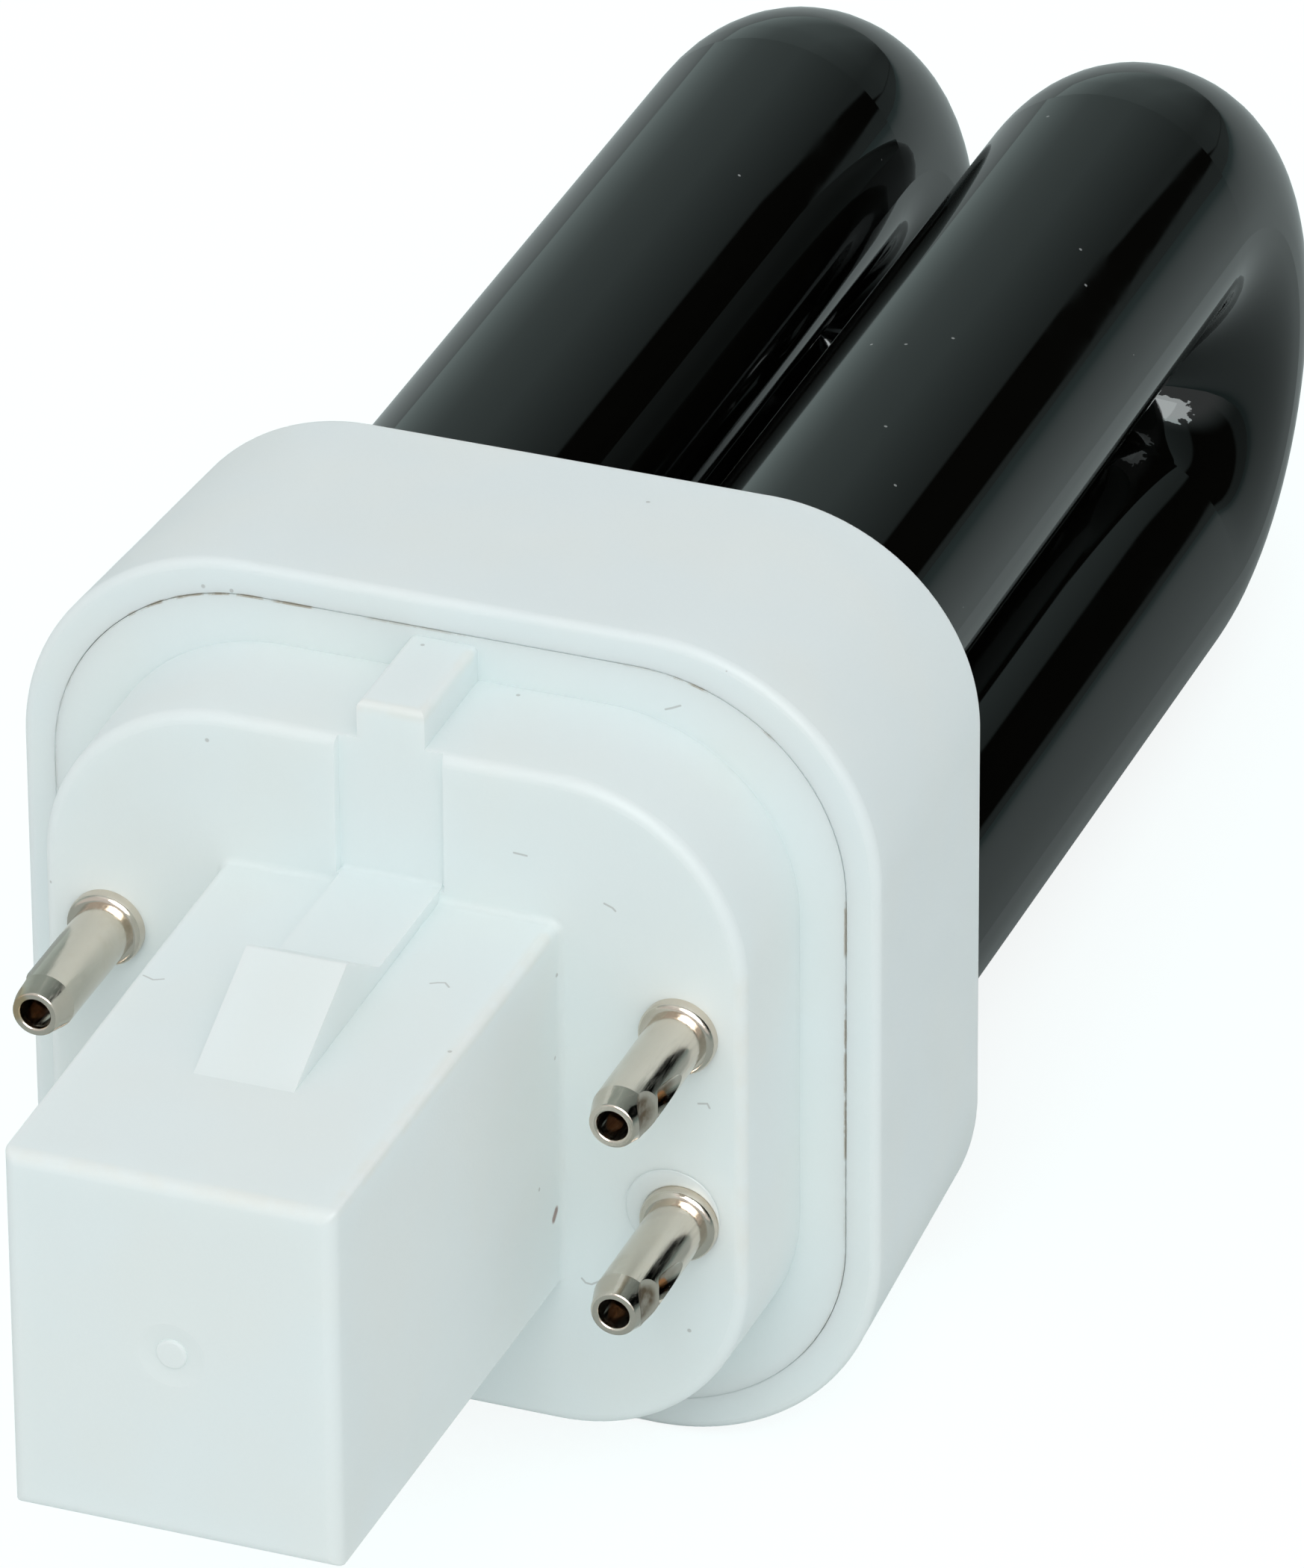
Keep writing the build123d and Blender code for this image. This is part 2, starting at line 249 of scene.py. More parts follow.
class LampStage(bpy.types.PropertyGroup):
    """Camera, floor and lights."""

    eye: FloatVectorProperty(
        name="Camera", description="Place of the camera", subtype="TRANSLATION", unit="LENGTH",
        size=3, default=(0.16724, -0.40675, 0.26552),
    )
    aim: FloatVectorProperty(
        name="Aim", description="Point at the middle of the picture", subtype="TRANSLATION", unit="LENGTH",
        size=3, default=(0.00504, 0.01361, 0.00593),
    )
    roll: FloatProperty(
        name="Roll", description="Turn of the camera about its line of sight", subtype="ANGLE",
        unit="ROTATION", default=math.radians(0.391),
    )
    lens: FloatProperty(
        name="Lens", description="Focal length for a 36 mm long side", subtype="DISTANCE_CAMERA",
        min=1, default=319.9,
    )
    floor_colour: FloatVectorProperty(
        name="Floor", description="Colour of the floor", subtype="COLOR",
        size=3, min=0, max=1, default=(0.85, 0.89, 0.885),
    )
    floor_glow: FloatProperty(
        name="Floor glow", description="Plain white that the camera sees in the floor", subtype="FACTOR",
        min=0, max=1, default=0.85,
    )
    sky_strength: FloatProperty(
        name="Surroundings", description="Light from the white surroundings", min=0, max=2, default=0.69,
    )
    front_power: FloatProperty(
        name="Front light", description="Power of the softbox beside the camera", unit="POWER",
        min=0, default=2.23,
    )
    top_power: FloatProperty(
        name="Top light", description="Power of the softbox above", unit="POWER", min=0, default=0.5,
    )
    tent_colour: FloatVectorProperty(
        name="Tent", description="Colour of the dim surroundings that gloss mirrors", subtype="COLOR",
        size=3, min=0, max=1, default=(0.82, 1.0, 0.98),
    )
    tent_front: FloatProperty(
        name="Tent front", description="Brightness of the surroundings on the camera's side",
        min=0, max=1, default=0.7,
    )
    window: FloatProperty(
        name="Window", description="Brightness of the window that gloss mirrors",
        min=0, max=20, default=6.5,
    )


def node(tree, kind, inputs=None, **settings):
    """Adds one node. Inputs are plain values or the sockets that feed them."""
    made = tree.nodes.new(kind)
    for name, value in settings.items():
        setattr(made, name, value)
    for key, value in (inputs or {}).items():
        if isinstance(value, bpy.types.NodeSocket):
            tree.links.new(value, made.inputs[key])
        else:
            made.inputs[key].default_value = value
    return made


def calc(tree, operation, first, *others):
    """Result of one Math node, or of a chain of them that takes in one more value at a time."""
    if not others:
        return node(tree, "ShaderNodeMath", {0: first}, operation=operation).outputs[0]
    for other in others:
        first = node(tree, "ShaderNodeMath", {0: first, 1: other}, operation=operation).outputs[0]
    return first


def vector(tree, operation, *values):
    """Vector result of one Vector Math node."""
    return node(tree, "ShaderNodeVectorMath", dict(enumerate(values)), operation=operation).outputs["Vector"]


def measure(tree, operation, *values):
    """Number that one Vector Math node gives."""
    return node(tree, "ShaderNodeVectorMath", dict(enumerate(values)), operation=operation).outputs["Value"]


def scaled(tree, value, factor):
    """Vector times a number."""
    inputs = {0: value, "Scale": factor}
    return node(tree, "ShaderNodeVectorMath", inputs, operation="SCALE").outputs["Vector"]


def parts(tree, point):
    """The point's X, Y and Z."""
    return node(tree, "ShaderNodeSeparateXYZ", {0: point}).outputs


def ramp(tree, value, start, end, rise):
    """Straight ramp of a value, from 0 at start to rise at end."""
    inputs = {"Value": value, "From Min": start, "From Max": end, "To Min": 0.0, "To Max": rise}
    return node(tree, "ShaderNodeMapRange", inputs).outputs["Result"]


def fade(tree, value, start, end, low=0.0, high=1.0):
    """Smooth step of a value: low at start and high at end."""
    inputs = {"Value": value, "From Min": start, "From Max": end, "To Min": low, "To Max": high}
    return node(tree, "ShaderNodeMapRange", inputs, interpolation_type="SMOOTHSTEP").outputs["Result"]


def noise(tree, point, scale, detail=3.0, roughness=0.5):
    """Noise from 0 to 1, with about scale features in a millimetre."""
    inputs = {"Vector": point, "Scale": scale, "Detail": detail, "Roughness": roughness}
    return node(tree, "ShaderNodeTexNoise", inputs).outputs["Fac"]


def bumped(tree, height, strength, depth):
    """Normal of a surface with bumps of the given depth, in millimetres."""
    inputs = {"Strength": strength, "Distance": depth * MM, "Height": height}
    return node(tree, "ShaderNodeBump", inputs).outputs["Normal"]


def blend(tree, factor, first, second):
    """Colour between first and second."""
    made = node(tree, "ShaderNodeMix", {"Factor": factor}, data_type="RGBA")
    for socket, value in ((made.inputs[6], first), (made.inputs[7], second)):
        if isinstance(value, bpy.types.NodeSocket):
            tree.links.new(value, socket)
        else:
            socket.default_value = (*value, 1.0)
    return made.outputs[2]


def turn_degrees(tree, part):
    """Angle round the axis, from +X towards +Z."""
    return calc(tree, "DEGREES", calc(tree, "ARCTAN2", part["Z"], part["X"]))


def new_material(name):
    """Empty node material, its shader, and the shaded point in millimetres."""
    material = bpy.data.materials.new(name)
    material.use_nodes = True
    tree = material.node_tree
    shader = tree.nodes["Principled BSDF"]
    place = node(tree, "ShaderNodeTexCoord").outputs["Object"]
    return material, tree, shader, scaled(tree, place, 1 / MM)


def feed(tree, shader, **sockets):
    """Links or sets the shader's sockets, named with underscores for spaces."""
    for name, value in sockets.items():
        socket = shader.inputs[name.replace("_", " ")]
        if isinstance(value, bpy.types.NodeSocket):
            tree.links.new(value, socket)
        else:
            socket.default_value = value


def stretch_distance():
    """Node group for the distance from a point to a straight stretch: the point's offset from the start,
    less the part of the stretch that lies nearest to it."""
    name = "distance to a stretch"
    if name in bpy.data.node_groups:
        return bpy.data.node_groups[name]
    tree = bpy.data.node_groups.new(name, "ShaderNodeTree")
    for socket in ("Point", "Start", "End"):
        tree.interface.new_socket(socket, in_out="INPUT", socket_type="NodeSocketVector")
    tree.interface.new_socket("Distance", in_out="OUTPUT", socket_type="NodeSocketFloat")
    given = node(tree, "NodeGroupInput").outputs
    along = vector(tree, "SUBTRACT", given["End"], given["Start"])
    offset = vector(tree, "SUBTRACT", given["Point"], given["Start"])
    reached = measure(tree, "DOT_PRODUCT", offset, along)
    ratio = calc(tree, "DIVIDE", reached, measure(tree, "DOT_PRODUCT", along, along))
    share = node(tree, "ShaderNodeClamp", {"Value": ratio}).outputs[0]
    distance = measure(tree, "LENGTH", vector(tree, "SUBTRACT", offset, scaled(tree, along, share)))
    node(tree, "NodeGroupOutput", {"Distance": distance})
    return tree


def line_distance(tree, point, lines):
    """Distance to the nearest of some lines, each given as the places it runs through."""
    nearest = 1000.0
    for line in lines:
        for start, end in zip(line, line[1:]):
            group = node(tree, "ShaderNodeGroup", node_tree=stretch_distance())
            tree.links.new(point, group.inputs["Point"])
            group.inputs["Start"].default_value = start
            group.inputs["End"].default_value = end
            nearest = calc(tree, "MINIMUM", nearest, group.outputs["Distance"])
    return nearest


def fibre_mask(tree, point, fibres, width):
    """1 on the given fibres and 0 off them: the nearest stretch's distance, set against the width."""
    return fade(tree, line_distance(tree, point, fibres), width * 0.3, width * 0.8, 1.0, 0.0)


def spot_mask(tree, point, places, radius):
    """1 on round spots at the given places."""
    nearest = 1000.0
    for place in places:
        nearest = calc(tree, "MINIMUM", nearest, measure(tree, "DISTANCE", point, place))
    return fade(tree, nearest, radius * 0.6, radius, 1.0, 0.0)


def speck_mask(tree, point, cell, radius, share):
    """Round specks in some of the cells of a scattered grid, for the given share of cells."""
    cells = node(tree, "ShaderNodeTexVoronoi", {"Vector": point, "Scale": 1 / cell})
    distance = calc(tree, "MULTIPLY", cells.outputs["Distance"], cell)
    draw = node(tree, "ShaderNodeSeparateColor", {0: cells.outputs["Color"]}).outputs[0]
    chosen = calc(tree, "LESS_THAN", draw, share)
    return calc(tree, "MULTIPLY", fade(tree, distance, radius * 0.5, radius, 1.0, 0.0), chosen)


def seam_distance(tree, point):
    """Distance from the seam between cap and collar, a rounded square round the axis: how far the point lies
    outside the square of the corners' centres, less the corner's radius."""
    flat = vector(tree, "ABSOLUTE", vector(tree, "MULTIPLY", point, (1, 0, 1)))
    inner = SEAM_HALF - SEAM_CORNER
    outside = vector(tree, "SUBTRACT", flat, (inner, 0, inner))
    corner = measure(tree, "LENGTH", vector(tree, "MAXIMUM", outside, (0, 0, 0)))
    return calc(tree, "ABSOLUTE", calc(tree, "SUBTRACT", corner, SEAM_CORNER))


def seam_dirt(tree, point):
    """Broken line of dirt in the seam: near the seam, in the grimy stretches round the axis."""
    part = parts(tree, point)
    turn = turn_degrees(tree, part)
    level = 0.0
    for start, end, strength in SEAM_GRIME:
        begun = fade(tree, turn, start - 0.7, start + 0.7, 0.0, strength)
        ended = fade(tree, turn, end - 0.7, end + 0.7, 1.0, 0.0)
        level = calc(tree, "MAXIMUM", level, calc(tree, "MULTIPLY", begun, ended))
    broken = fade(tree, noise(tree, point, 1.1, 4.0, 0.65), 0.36, 0.56, 0.05, 1.0)
    width = calc(tree, "ADD", calc(tree, "MULTIPLY", noise(tree, point, 1.7), 0.1), 0.03)
    line = calc(tree, "SUBTRACT", 1.0, calc(tree, "DIVIDE", seam_distance(tree, point), width))
    near_face = fade(tree, part["Y"], RIM_Y + 0.3, RIM_Y + 0.6, 1.0, 0.0)
    return calc(tree, "MULTIPLY", fade(tree, line, 0.0, 0.6), level, broken, near_face)


def plastic(name, colour, settings, spots, fibres=(), ticks=(), worn_and_shaded=()):
    """Satin white moulding with soft warm patches, worn edges darkened with painted shade that dulls their
    highlight, fine specks, dust and dirt in the seam.
    """
    material, tree, shader, point = new_material(name)
    patches = fade(tree, noise(tree, point, 0.16, 2.0), 0.35, 0.7)
    tone = blend(tree, calc(tree, "MULTIPLY", patches, 0.45), colour, settings.aged_colour)
    if worn_and_shaded:
        # Painted shade: the listed edges get a darker warm colour that dulls their highlight, along with
        # their yellowing
        wear_and_shade_mask = fade(tree, line_distance(tree, point, worn_and_shaded), 0.12, 0.5, 1.0, 0.0)
        uneven = fade(tree, noise(tree, point, 0.7, 3.0), 0.35, 0.65, 0.05, 0.2)
        tone = blend(tree, calc(tree, "MULTIPLY", wear_and_shade_mask, uneven), tone, WORN_AND_SHADE_COLOUR)
    specks = calc(tree, "MULTIPLY", speck_mask(tree, point, 2.6, 0.05, 0.3), 0.35)
    tone = blend(tree, specks, tone, SPECK_COLOUR)
    marks = spot_mask(tree, point, spots, 0.1)
    if fibres:
        marks = calc(tree, "MAXIMUM", marks, fibre_mask(tree, point, fibres, settings.fibre_width))
    tone = blend(tree, calc(tree, "MULTIPLY", marks, 0.36), tone, FIBRE_COLOUR)
    if ticks:
        bold = fibre_mask(tree, point, ticks, 4.5 * settings.fibre_width)
        tone = blend(tree, calc(tree, "MULTIPLY", bold, 0.8), tone, TICK_COLOUR)
    tone = blend(tree, seam_dirt(tree, point), tone, settings.dirt_colour)
    gloss = noise(tree, point, 0.5, 4.0)
    grain = noise(tree, point, 9.0, 0.0)
    feed(
        tree, shader, Base_Color=tone, Normal=bumped(tree, grain, 0.12, 0.02),
        Roughness=fade(tree, gloss, 0.2, 0.8, settings.roughness - 0.06, settings.roughness + 0.06),
        IOR=1.5, Specular_IOR_Level=0.4, Subsurface_Weight=settings.translucency,
        Subsurface_Radius=(1.0, 1.0, 1.0), Subsurface_Scale=0.9 * MM,
    )
    return material


def black_glass(settings):
    """Near-black glass that mirrors its surroundings, with faint smears and a few specks of dust."""
    material, tree, shader, point = new_material("black_glass")
    coarse = calc(tree, "MULTIPLY", speck_mask(tree, point, 5.2, 0.08, 0.2), 0.5)
    fine = calc(tree, "MULTIPLY", speck_mask(tree, point, 2.1, 0.05, 0.2), 0.25)
    placed = calc(tree, "MULTIPLY", spot_mask(tree, point, GLASS_SPECKS, 0.08), 0.4)
    dust = calc(tree, "MAXIMUM", coarse, fine, placed)
    tone = blend(tree, dust, settings.colour, settings.dust_colour)
    smears = noise(tree, point, 0.22, 5.0, 0.6)
    smeared = fade(tree, smears, 0.4, 0.75, settings.roughness, settings.roughness + 0.05)
    blur = calc(tree, "ADD", smeared, calc(tree, "MULTIPLY", dust, 0.5))
    ripple = noise(tree, point, 0.1, 1.0)
    feed(
        tree, shader, Base_Color=tone, Roughness=blur, Normal=bumped(tree, ripple, 0.25, 0.06), IOR=1.5,
        Specular_IOR_Level=settings.mirror_level, Specular_Tint=(0.93, 1.0, 1.0, 1.0),
    )
    return material


def nickel(settings):
    """Warm bright nickel, brushed along the pins, and stained where the crimps are pressed in, with painted
    shade for the crimps' dark reflection.
    """
    material, tree, shader, point = new_material("nickel_plate")
    part = parts(tree, point)
    outboard = calc(tree, "SUBTRACT", calc(tree, "ABSOLUTE", part["X"]), PIN_X)
    upward = calc(tree, "SUBTRACT", calc(tree, "ABSOLUTE", part["Z"]), PIN_Z)
    squares = [calc(tree, "POWER", side, 2.0) for side in (outboard, upward)]
    radial = calc(tree, "SQRT", calc(tree, "ADD", *squares))
    pressed = calc(
        tree, "MULTIPLY", fade(tree, radial, *CRIMP_RADII, 1.0, 0.0), fade(tree, outboard, 0.1, 0.3),
        fade(tree, part["Y"], PIN_TIP_Y + 0.5, PIN_TIP_Y + 0.9),
    )
    patchy = fade(tree, noise(tree, point, 1.6, 3.0), 0.3, 0.65, 0.35, 1.0)
    # Painted shade: the crimps' dark reflection is painted in together with their stain
    stained_and_shaded = calc(tree, "MULTIPLY", pressed, patchy)
    tone = blend(tree, stained_and_shaded, settings.nickel_colour, settings.stain_and_shade_colour)
    tarnish = fade(tree, noise(tree, point, 0.8, 4.0, 0.6), 0.5, 0.8)
    tone = blend(tree, calc(tree, "MULTIPLY", tarnish, 0.35), tone, TARNISH_COLOUR)
    gilt = calc(tree, "MULTIPLY", spot_mask(tree, point, [PIN_GILT], 0.8), 0.6)
    tone = blend(tree, gilt, tone, GILT_COLOUR)
    above = calc(tree, "SUBTRACT", part["Z"], calc(tree, "MULTIPLY", calc(tree, "SIGN", part["Z"]), PIN_Z))
    beside = node(tree, "ShaderNodeCombineXYZ", {0: outboard, 1: part["Y"], 2: above}).outputs[0]
    tone = blend(tree, spot_mask(tree, beside, [CRIMP_SPOT], 0.34), tone, CRIMP_COPPER)
    brushed = noise(tree, vector(tree, "MULTIPLY", point, (6.0, 0.5, 6.0)), 1.5, 4.0, 0.6)
    feed(
        tree, shader, Base_Color=tone, Metallic=1.0, Normal=bumped(tree, brushed, 0.15, 0.02),
        Roughness=fade(tree, brushed, 0.3, 0.7, settings.roughness - 0.06, settings.roughness + 0.1),
    )
    return material


def copper(settings):
    """Bare copper, dulled in patches and blackened where it is crimped in the pins."""
    material, tree, shader, point = new_material("copper_wire")
    burnt = fade(tree, parts(tree, point)["Y"], PIN_TIP_Y + 1.2, PIN_TIP_Y + 3.5, 1.0, 0.0)
    dull = fade(tree, noise(tree, point, 1.2, 4.0), 0.4, 0.7)
    tone = blend(tree, calc(tree, "MULTIPLY", dull, 0.6), settings.copper_colour, DULL_COPPER)
    tone = blend(tree, burnt, tone, BURNT_COPPER)
    feed(tree, shader, Base_Color=tone, Metallic=1.0, Roughness=fade(tree, dull, 0.0, 1.0, 0.25, 0.5))
    return material


def cement():
    """Matt grey-white basing cement, grainy and pitted."""
    material, tree, shader, point = new_material("cement")
    grain = noise(tree, point, 1.4, 6.0, 0.65)
    tone = blend(tree, grain, CEMENT_DARK, CEMENT_PALE)
    feed(tree, shader, Base_Color=tone, Roughness=0.9, Normal=bumped(tree, grain, 0.6, 0.2))
    return material


def dress(names, material):
    """Puts a material in the named CAD nodes' slots."""
    for name in names:
        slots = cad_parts[name].data.materials
        slots.clear()
        slots.append(material)


def grid_mesh(name, points, closed_u=False, closed_v=False):
    """Mesh of a grid of points, given as an array of rows, columns and coordinates in millimetres."""
    rows, columns = points.shape[:2]
    index = np.arange(rows * columns).reshape(rows, columns)
    if closed_u:
        index = np.vstack([index, index[:1]])
    if closed_v:
        index = np.hstack([index, index[:, :1]])
    corners = [index[:-1, :-1], index[:-1, 1:], index[1:, 1:], index[1:, :-1]]
    faces = np.stack(corners, axis=-1).reshape(-1, 4)
    mesh = bpy.data.meshes.new(name)
    mesh.from_pydata((points.reshape(-1, 3) * MM).tolist(), [], faces.tolist())
    mesh.update()
    made = bpy.data.objects.new(name, mesh)
    bpy.context.scene.collection.objects.link(made)
    return made


def flash_ring():
    """Thin crescent of moulding flash beside the lower right pin's flange. Round the pin, each section is a
    low half-ellipse from the flange's edge to a slightly larger circle whose centre is off the pin's axis."""
    inner = FLANGE_RADIUS + FLASH_GAP
    shift = np.array(FLASH_SHIFT)
    turn = np.linspace(0, 2 * np.pi, 97)[:-1]
    heading = np.stack([np.cos(turn), np.sin(turn)], axis=1)
    ahead = heading @ shift
    outer = ahead + np.sqrt(ahead**2 - shift @ shift + FLASH_RADIUS**2)
    width = np.maximum(outer - inner, FLASH_LEAST_WIDTH)
    height = np.minimum(FLASH_HEIGHT, FLASH_STEEPNESS * width)
    across = np.linspace(0, np.pi, 13)
    radius = inner + width[:, None] * (1 - np.cos(across)) / 2
    rise = height[:, None] * np.sin(across)
    points = np.stack([PIN_X + radius * heading[:, :1], -rise, -PIN_Z + radius * heading[:, 1:]], axis=-1)
    ring = grid_mesh("pin_flash_ring", points, closed_u=True, closed_v=True)
    for face in ring.data.polygons:
        face.use_smooth = True
    return ring


class LAMP_OT_discharge_tube(bpy.types.Operator):
    """Gives the discharge tube its black glass"""

    bl_idname = "lamp.discharge_tube"
    bl_label = "Discharge Tube"

    def execute(self, context):
        dress(["discharge_tube"], black_glass(context.scene.lamp_glass))
        return {"FINISHED"}


class LAMP_OT_mouldings(bpy.types.Operator):
    """Gives the cap and the collar their white plastic"""

    bl_idname = "lamp.mouldings"
    bl_label = "Cap and Collar"

    def execute(self, context):
        settings = context.scene.lamp_plastics
        cap = plastic(
            "cap_plastic", settings.cap_colour, settings, CAP_SPOTS, CAP_FIBRES, CAP_TICKS, WORN_AND_SHADED_EDGES
        )
        dress(["base_cap"], cap)
        dress(["collar"], plastic("collar_plastic", settings.collar_colour, settings, COLLAR_SPOTS))
        return {"FINISHED"}


class LAMP_OT_pins(bpy.types.Operator):
    """Gives the contact pins their nickel and adds the flash beside one of them"""

    bl_idname = "lamp.pins"
    bl_label = "Contact Pins"

    def execute(self, context):
        dress(PINS, nickel(context.scene.lamp_metals))
        ring = flash_ring()
        ring.data.materials.append(bpy.data.materials["cap_plastic"])
        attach(ring, "root")
        return {"FINISHED"}


class LAMP_OT_inner_pieces(bpy.types.Operator):
    """Gives the lead wires their copper and the tubes' seat its cement"""

    bl_idname = "lamp.inner_pieces"
    bl_label = "Wires and Cement"

    def execute(self, context):
        dress(WIRES, copper(context.scene.lamp_metals))
        dress(["tube_cement"], cement())
        return {"FINISHED"}


def floor_grid():
    """Plain floor under the lamp as it lies: a plane just below the collar's rim and the tubes' bends."""
    slope = (TUBE_LOW[2] - COLLAR_LOW[2]) / (BEND_REST_Y - RIM_REST_Y)
    reach = np.linspace(-FLOOR_REACH, FLOOR_REACH, 13)
    x, y = np.meshgrid(reach, reach, indexing="ij")
    z = COLLAR_LOW[2] + slope * (y - RIM_REST_Y) - FLOOR_GAP
    return grid_mesh("floor", np.stack([x, y, z], axis=-1)[:, ::-1])


def backdrop_share(tree):
    """1 for rays that show the background: from the camera, from gloss and through glass."""
    path = node(tree, "ShaderNodeLightPath").outputs
    return calc(tree, "MAXIMUM", path["Is Camera Ray"], path["Is Glossy Ray"], path["Is Transmission Ray"])


def floor_material(settings):
    """Pale matt floor that keeps the lamp's shadow. The camera sees mostly a plain white glow, so that the
    shadow is light. Gloss sees the floor dimmer, and dimmest towards the right."""
    material, tree, shader, point = new_material("floor")
    path = node(tree, "ShaderNodeLightPath").outputs
    rightward = fade(tree, parts(tree, point)["X"], 30.0, 220.0, 0.46, 0.76)
    camera = calc(tree, "MULTIPLY", path["Is Camera Ray"], 0.8)
    gloss = calc(tree, "MULTIPLY", path["Is Glossy Ray"], rightward)
    kept = blend(tree, calc(tree, "MAXIMUM", camera, gloss), settings.floor_colour, FLOOR_DIM)
    glow = calc(tree, "MULTIPLY", path["Is Camera Ray"], settings.floor_glow)
    feed(
        tree, shader, Base_Color=kept, Roughness=1.0, Specular_IOR_Level=0.0,
        Emission_Color=(1.0, 1.0, 1.0, 1.0), Emission_Strength=glow,
    )
    material.cycles.emission_sampling = "NONE"
    return material


def white_surroundings(settings):
    """World that lights the lamp softly and shows as plain white."""
    world = bpy.data.worlds.new("surroundings")
    world.use_nodes = True
    tree = world.node_tree
    tree.nodes.clear()
    light = node(tree, "ShaderNodeBackground", {"Strength": settings.sky_strength})
    white = node(tree, "ShaderNodeBackground", {"Strength": 1.0})
    for background in (light, white):
        background.inputs["Color"].default_value = (1.0, 1.0, 1.0, 1.0)
    mixed = node(
        tree, "ShaderNodeMixShader", {0: backdrop_share(tree), 1: light.outputs[0], 2: white.outputs[0]}
    )
    node(tree, "ShaderNodeOutputWorld", {"Surface": mixed.outputs[0]})
    bpy.context.scene.world = world


def softbox(name, place, size, power):
    """Square soft light that points at the lamp's middle."""
    data = bpy.data.lights.new(name, "AREA")
    data.shape = "SQUARE"
    data.size = size
    data.energy = power
    lamp = bpy.data.objects.new(name, data)
    lamp.location = place
    lamp.rotation_euler = (-Vector(place)).to_track_quat("-Z", "Y").to_euler()
    bpy.context.scene.collection.objects.link(lamp)


def tent_glow(tree, point, settings):
    """Colour and brightness of the tent by direction. Round the axis it rises from the right over the top to
    the left. It sinks towards the axis, has a dark gap on the right that narrows to a point, and is even in
    front, but for one bright window with an uneven outline."""
    part = parts(tree, point)
    turn = turn_degrees(tree, part)
    reach = measure(tree, "LENGTH", point)
    off_axis = calc(tree, "DEGREES", calc(tree, "ARCCOSINE", calc(tree, "DIVIDE", part["Y"], reach)))
    rises = [ramp(tree, turn, *rise) for rise in TENT_RISES]
    glow = calc(tree, "ADD", *rises, TENT_LEAST)
    spread = calc(tree, "ADD", *[ramp(tree, off_axis, *growth) for growth in GAP_SPREAD])
    middle = calc(tree, "ADD", ramp(tree, off_axis, *GAP_LEAN), GAP_TURN)
    beside = calc(tree, "SUBTRACT", calc(tree, "ABSOLUTE", calc(tree, "SUBTRACT", turn, middle)), spread)
    outside = fade(tree, beside, -1.5, 1.5)
    front = fade(tree, off_axis, 90.0, 120.0)
    behind = calc(tree, "SUBTRACT", 1.0, front)
    back = calc(tree, "MULTIPLY", glow, fade(tree, off_axis, 4.0, 24.0, 0.55, 1.0), outside, behind)
    facing = calc(tree, "DIVIDE", measure(tree, "DOT_PRODUCT", point, WINDOW_WAY), reach)
    uneven = calc(tree, "MULTIPLY", calc(tree, "SUBTRACT", noise(tree, point, 0.0045, 3.0), 0.5), 0.22)
    outline = calc(tree, "ADD", facing, uneven)
    window = fade(tree, outline, WINDOW_EDGE, WINDOW_EDGE + 0.008, 0.0, settings.window)
    level = calc(tree, "ADD", back, calc(tree, "MULTIPLY", front, settings.tent_front), window)
    return blend(tree, front, settings.tent_colour, (1.0, 1.0, 1.0)), level


def tent_card(settings):
    """Wide ball round the lamp that gloss alone shows, as the dim surroundings that the glass mirrors."""
    polar, turn = np.meshgrid(
        np.radians(np.linspace(0, 180, 37)), np.radians(np.linspace(0, 360, 73)[:-1]), indexing="ij"
    )
    heading = [np.sin(polar) * np.cos(turn), np.cos(polar), np.sin(polar) * np.sin(turn)]
    card = grid_mesh("tent_card", TENT_RADIUS * np.stack(heading, axis=-1), closed_v=True)
    material, tree, shader, point = new_material("tent_card")
    colour, level = tent_glow(tree, point, settings)
    feed(
        tree, shader, Base_Color=(0.0, 0.0, 0.0, 1.0), Roughness=1.0, Specular_IOR_Level=0.0,
        Emission_Color=colour, Emission_Strength=level,
    )
    material.cycles.emission_sampling = "NONE"
    card.data.materials.append(material)
    card.visible_camera = False
    card.visible_diffuse = False
    card.visible_shadow = False


def photo_camera(settings):
    """Camera with a given eye, aim and roll."""
    data = bpy.data.cameras.new("camera")
    data.lens = settings.lens
    data.sensor_width = 36.0
    data.clip_start = 0.01
    data.clip_end = 100.0
    camera = bpy.data.objects.new("camera", data)
    back = (Vector(settings.eye) - Vector(settings.aim)).normalized()
    level = Vector((0, 0, 1)).cross(back).normalized()
    right = Matrix.Rotation(-settings.roll, 3, back) @ level
    up = back.cross(right)
    camera.matrix_world = Matrix.Translation(settings.eye) @ Matrix((right, up, back)).transposed().to_4x4()
    bpy.context.scene.collection.objects.link(camera)
    bpy.context.scene.camera = camera


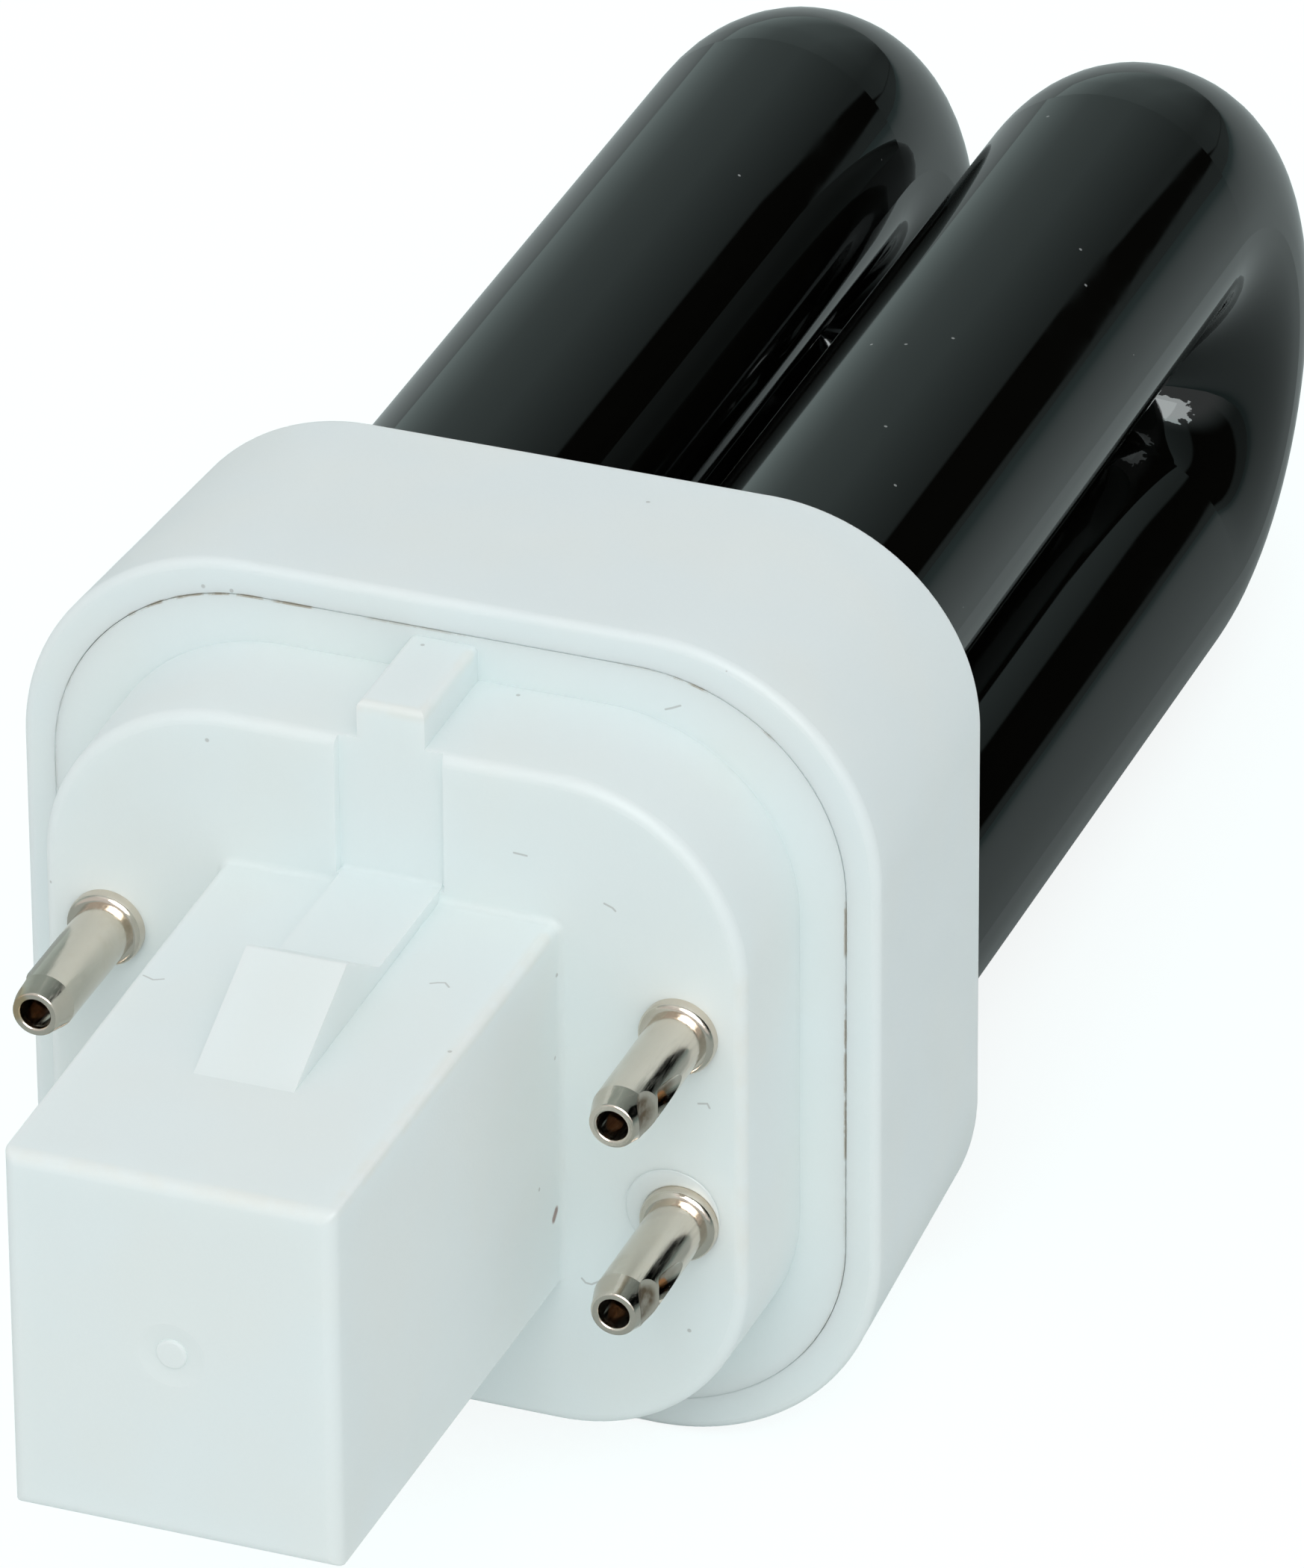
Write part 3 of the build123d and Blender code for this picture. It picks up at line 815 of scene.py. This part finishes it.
class LAMP_OT_stage(bpy.types.Operator):
    """Sets up the floor, the lights, the white surroundings and the camera"""

    bl_idname = "lamp.stage"
    bl_label = "Stage"

    def execute(self, context):
        settings = context.scene.lamp_stage
        floor = floor_grid()
        floor.data.materials.append(floor_material(settings))
        white_surroundings(settings)
        softbox("front_softbox", *FRONT_SOFTBOX, settings.front_power)
        softbox("top_softbox", *TOP_SOFTBOX, settings.top_power)
        tent_card(settings)
        photo_camera(settings)
        context.scene.view_settings.view_transform = "Standard"
        return {"FINISHED"}


class LAMP_PT_finishes(bpy.types.Panel):
    """Lists the lamp's settings and what makes its looks"""

    bl_idname = "LAMP_PT_finishes"
    bl_label = "Lamp Finishes"
    bl_space_type = "VIEW_3D"
    bl_region_type = "UI"
    bl_category = "Lamp"

    def draw(self, context):
        for group in GROUPS:
            settings = getattr(context.scene, group)
            for name in settings.bl_rna.properties.keys():
                if name not in ("rna_type", "name"):
                    self.layout.prop(settings, name)
        for operator in OPERATORS:
            self.layout.operator(operator.bl_idname)


GROUPS = {
    "lamp_plastics": LampPlastics,
    "lamp_glass": LampGlass,
    "lamp_metals": LampMetals,
    "lamp_stage": LampStage,
}
OPERATORS = [
    LAMP_OT_discharge_tube,
    LAMP_OT_mouldings,
    LAMP_OT_pins,
    LAMP_OT_inner_pieces,
    LAMP_OT_stage,
]


def register():
    """Registers the classes and puts the settings on the scene."""
    for made in (*GROUPS.values(), *OPERATORS, LAMP_PT_finishes):
        bpy.utils.register_class(made)
    for name, group in GROUPS.items():
        setattr(bpy.types.Scene, name, PointerProperty(type=group))


def unregister():
    """Takes the settings off the scene and unregisters the classes."""
    for name in GROUPS:
        delattr(bpy.types.Scene, name)
    for made in (LAMP_PT_finishes, *reversed(OPERATORS), *reversed(GROUPS.values())):
        bpy.utils.unregister_class(made)


def main():
    """Dresses the lamp and sets the stage."""
    register()
    bpy.ops.lamp.discharge_tube()
    bpy.ops.lamp.mouldings()
    bpy.ops.lamp.pins()
    bpy.ops.lamp.inner_pieces()
    bpy.ops.lamp.stage()


if __name__ == "__main__":
    main()
